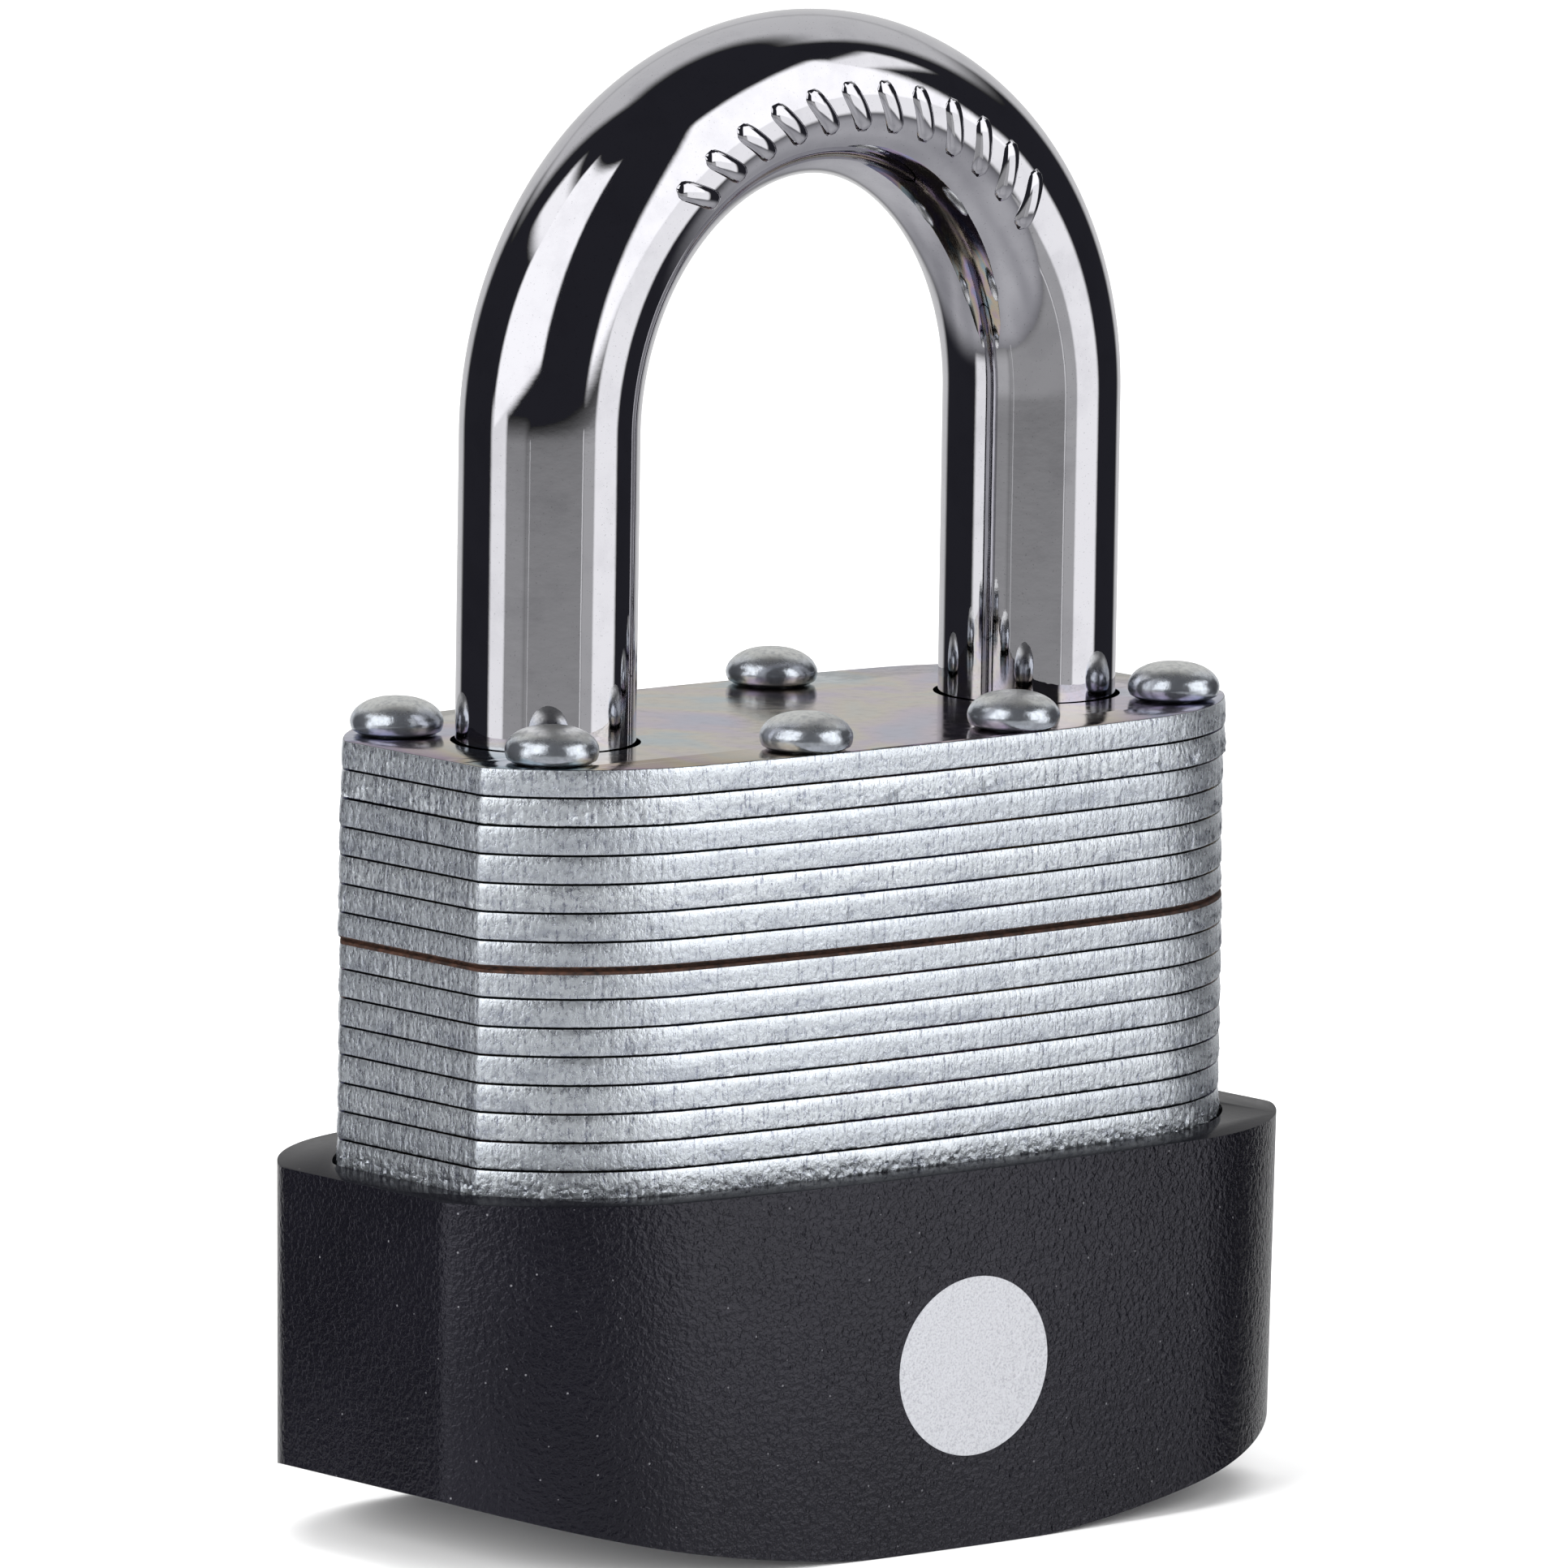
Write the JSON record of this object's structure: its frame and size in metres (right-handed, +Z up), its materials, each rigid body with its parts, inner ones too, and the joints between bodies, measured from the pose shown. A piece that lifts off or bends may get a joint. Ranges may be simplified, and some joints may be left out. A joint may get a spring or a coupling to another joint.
{
  "type": "laminated padlock",
  "caption": "Laminated steel padlock: a riveted stack of plates, a long chromed U-shaped shackle, a pin-tumbler key cylinder from below, and a black plastic bumper round the base.",
  "frame": {"origin": "middle of the bumper's flat foot, on the surface that the padlock stands on", "axes": "+X along the body's width towards the toe of the shackle, -Y out of the front, +Z up along the shackle's legs"},
  "size_m": [0.0568, 0.0296, 0.0795],
  "materials": {
    "plates": "zinc-plated, punched edges with fine vertical tear marks",
    "top_plate": "bright zinc plate with a faint blue and yellow passivation tint",
    "rivets": "bright zinc-plated domed heads with duller crowns",
    "shackle": "mirror chrome plate",
    "springs": "bright drawn spring wire",
    "balls": "polished bearing steel",
    "cam": "plain ground steel",
    "cylinder_brass": "machined brass",
    "bumper": "black moulded plastic with a fine spark-eroded grain"
  },
  "bodies": {
    "case": {"plate_01": "top_plate", "plate_02": "plates", "plate_03": "plates", "plate_04": "plates", "plate_05": "plates", "plate_06": "plates", "plate_07": "plates", "plate_08": "plates", "plate_09": "plates", "plate_10": "plates", "plate_11": "plates", "plate_12": "plates", "plate_13": "plates", "plate_14": "plates", "plate_15": "plates", "plate_16": "plates", "plate_17": "plates", "plate_18": "plates", "plate_19": "plates", "plate_20": "plates", "plate_21": "plates", "plate_22": "plates", "plate_23": "plates", "plate_24": "plates", "rivet_1": "rivets", "rivet_2": "rivets", "rivet_3": "rivets", "rivet_4": "rivets", "rivet_5": "rivets", "rivet_6": "rivets", "rivet_7": "rivets", "rivet_8": "rivets", "shackle_spring": "springs", "cylinder_shell": "cylinder_brass", "chamber_cover": "cylinder_brass", "driver_pin_1": "cylinder_brass", "driver_pin_2": "cylinder_brass", "driver_pin_3": "cylinder_brass", "driver_pin_4": "cylinder_brass", "driver_pin_5": "cylinder_brass", "pin_spring_1": "springs", "pin_spring_2": "springs", "pin_spring_3": "springs", "pin_spring_4": "springs", "pin_spring_5": "springs", "bumper": "bumper"},
    "shackle": {"shackle": "shackle"},
    "plug": {"plug": "cylinder_brass", "plug_clip": "cam", "driver_cam": "cam", "key_pin_1": "cylinder_brass", "key_pin_2": "cylinder_brass", "key_pin_3": "cylinder_brass", "key_pin_4": "cylinder_brass", "key_pin_5": "cylinder_brass"},
    "ball_left": {"ball_left": "balls"},
    "ball_right": {"ball_right": "balls"}
  },
  "joints": [
    {"name": "shackle_lift", "type": "slide", "parent": "case", "child": "shackle", "axis": [0, 0, 1], "range_m": [0, 0.0152], "deforming": ["shackle_spring"]},
    {"name": "plug_turn", "type": "hinge", "parent": "case", "child": "plug", "pos_m": [0, 0, 0.0066], "axis": [0, 0, 1], "range_deg": [0, 90]},
    {"name": "ball_left_slide", "type": "slide", "parent": "case", "child": "ball_left", "axis": [1, 0, 0], "range_m": [0, 0.0038]},
    {"name": "ball_right_slide", "type": "slide", "parent": "case", "child": "ball_right", "axis": [-1, 0, 0], "range_m": [0, 0.0038]}
  ],
  "couplings": [
    {"joint": "plug_turn", "follows": "shackle_lift", "rad_per_m": 103.34},
    {"joint": "ball_left_slide", "follows": "shackle_lift", "ratio": 0.25},
    {"joint": "ball_right_slide", "follows": "shackle_lift", "ratio": 0.25}
  ]
}
